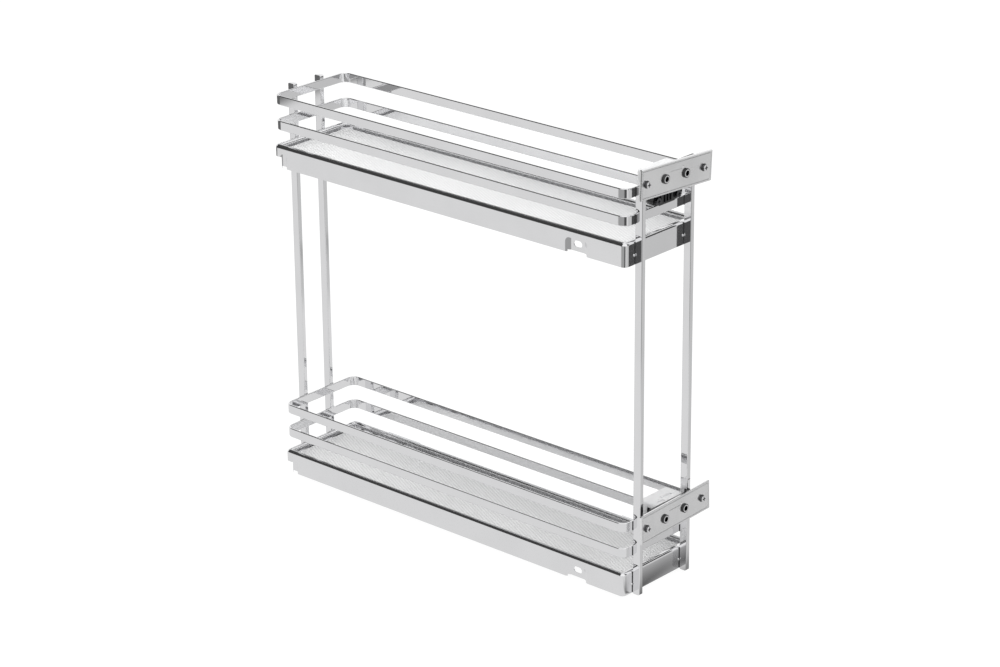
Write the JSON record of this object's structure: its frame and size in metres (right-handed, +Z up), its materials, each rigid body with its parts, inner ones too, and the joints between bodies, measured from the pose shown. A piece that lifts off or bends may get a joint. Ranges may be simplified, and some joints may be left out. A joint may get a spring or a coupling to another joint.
{
  "type": "pull out larder unit",
  "caption": "Narrow pull-out storage frame: flat-bar posts carry an upper and a lower chromed basket on full-extension runners, with adjustable brackets for the cabinet door.",
  "frame": {"origin": "on the face of the cabinet wall that carries the runners, midway between the front pair of screw holes of the lower runner", "axes": "+X into the cabinet wall that carries the runners, -Y towards the cabinet door (the way the baskets pull out), +Z up"},
  "size_m": [0.1127, 0.4982, 0.4453],
  "materials": {
    "chrome_post": "polished chrome plate on flat bar",
    "chrome_sheet": "polished chrome plate on pressed sheet and bent flat bar",
    "ribbed_mat": "soft white anti-slip mat with fine ribs",
    "white_plastic": "satin moulded white plastic",
    "black_plastic": "satin moulded black plastic",
    "bush_plastic": "satin moulded black plastic",
    "pin_steel": "zinc plated turned steel",
    "plate_zinc": "satin zinc plated sheet",
    "screw_zinc": "zinc plated screw",
    "runner_zinc": "bright zinc plated rolled strip",
    "cage_steel": "bright steel balls in a thin strip cage"
  },
  "bodies": {
    "cabinet_side": {"upper_cabinet_member": "runner_zinc", "upper_wall_brackets": "runner_zinc", "lower_cabinet_member": "runner_zinc", "lower_wall_brackets": "runner_zinc"},
    "baskets": {"front_left_post": "chrome_post", "front_right_post": "chrome_post", "rear_left_post": "chrome_post", "rear_right_post": "chrome_post", "upper_tray": "chrome_sheet", "upper_mat": "ribbed_mat", "upper_low_rail": "chrome_sheet", "upper_top_rail": "chrome_sheet", "upper_drawer_member": "runner_zinc", "upper_runner_screw": "screw_zinc", "lower_tray": "chrome_sheet", "lower_mat": "ribbed_mat", "lower_low_rail": "chrome_sheet", "lower_top_rail": "chrome_sheet", "lower_drawer_member": "runner_zinc", "lower_runner_screw": "screw_zinc"},
    "upper_outer_balls": {"upper_outer_cage": "cage_steel"},
    "upper_middle": {"upper_middle_member": "runner_zinc"},
    "upper_inner_balls": {"upper_inner_cage": "cage_steel"},
    "upper_clamp": {"upper_clamp_cover": "white_plastic", "upper_clamp_block": "black_plastic", "upper_clamp_screws": "screw_zinc"},
    "upper_height_carrier": {"upper_carrier": "black_plastic"},
    "upper_plate": {"upper_door_plate": "plate_zinc", "upper_bushes": "bush_plastic", "upper_bush_liners": "pin_steel", "upper_door_pins": "pin_steel"},
    "lower_outer_balls": {"lower_outer_cage": "cage_steel"},
    "lower_middle": {"lower_middle_member": "runner_zinc"},
    "lower_inner_balls": {"lower_inner_cage": "cage_steel"},
    "lower_clamp": {"lower_clamp_cover": "white_plastic", "lower_clamp_block": "black_plastic", "lower_clamp_screws": "screw_zinc"},
    "lower_height_carrier": {"lower_carrier": "black_plastic"},
    "lower_plate": {"lower_door_plate": "plate_zinc", "lower_bushes": "bush_plastic", "lower_bush_liners": "pin_steel", "lower_door_pins": "pin_steel"}
  },
  "joints": [
    {"name": "pull_out", "type": "slide", "parent": "cabinet_side", "child": "baskets", "axis": [0, -1, 0], "range_m": [0, 0.44]},
    {"name": "upper_outer_balls_slide", "type": "slide", "parent": "cabinet_side", "child": "upper_outer_balls", "axis": [0, -1, 0], "range_m": [0, 0.11]},
    {"name": "upper_middle_slide", "type": "slide", "parent": "cabinet_side", "child": "upper_middle", "axis": [0, -1, 0], "range_m": [0, 0.22]},
    {"name": "upper_inner_balls_slide", "type": "slide", "parent": "cabinet_side", "child": "upper_inner_balls", "axis": [0, -1, 0], "range_m": [0, 0.33]},
    {"name": "lower_outer_balls_slide", "type": "slide", "parent": "cabinet_side", "child": "lower_outer_balls", "axis": [0, -1, 0], "range_m": [0, 0.11]},
    {"name": "lower_middle_slide", "type": "slide", "parent": "cabinet_side", "child": "lower_middle", "axis": [0, -1, 0], "range_m": [0, 0.22]},
    {"name": "lower_inner_balls_slide", "type": "slide", "parent": "cabinet_side", "child": "lower_inner_balls", "axis": [0, -1, 0], "range_m": [0, 0.33]},
    {"name": "upper_side_adjust", "type": "slide", "parent": "baskets", "child": "upper_clamp", "axis": [1, 0, 0], "range_m": [-0.008, 0.008]},
    {"name": "upper_height_adjust", "type": "slide", "parent": "upper_clamp", "child": "upper_height_carrier", "axis": [0, 0, 1], "range_m": [-0.007, 0.001]},
    {"name": "upper_tilt_adjust", "type": "hinge", "parent": "upper_height_carrier", "child": "upper_plate", "pos_m": [-0.059, -0.0872, 0.412], "axis": [0, 1, 0], "range_deg": [-7.2, 0.8]},
    {"name": "lower_side_adjust", "type": "slide", "parent": "baskets", "child": "lower_clamp", "axis": [1, 0, 0], "range_m": [-0.013, 0.003]},
    {"name": "lower_height_adjust", "type": "slide", "parent": "lower_clamp", "child": "lower_height_carrier", "axis": [0, 0, 1], "range_m": [-0.001, 0.007]},
    {"name": "lower_tilt_adjust", "type": "hinge", "parent": "lower_height_carrier", "child": "lower_plate", "pos_m": [-0.054, -0.0872, 0.064], "axis": [0, 1, 0], "range_deg": [-2.1, 5.9]}
  ],
  "couplings": [
    {"joint": "upper_outer_balls_slide", "follows": "pull_out", "ratio": 0.25},
    {"joint": "upper_middle_slide", "follows": "pull_out", "ratio": 0.5},
    {"joint": "upper_inner_balls_slide", "follows": "pull_out", "ratio": 0.75},
    {"joint": "lower_outer_balls_slide", "follows": "pull_out", "ratio": 0.25},
    {"joint": "lower_middle_slide", "follows": "pull_out", "ratio": 0.5},
    {"joint": "lower_inner_balls_slide", "follows": "pull_out", "ratio": 0.75}
  ]
}
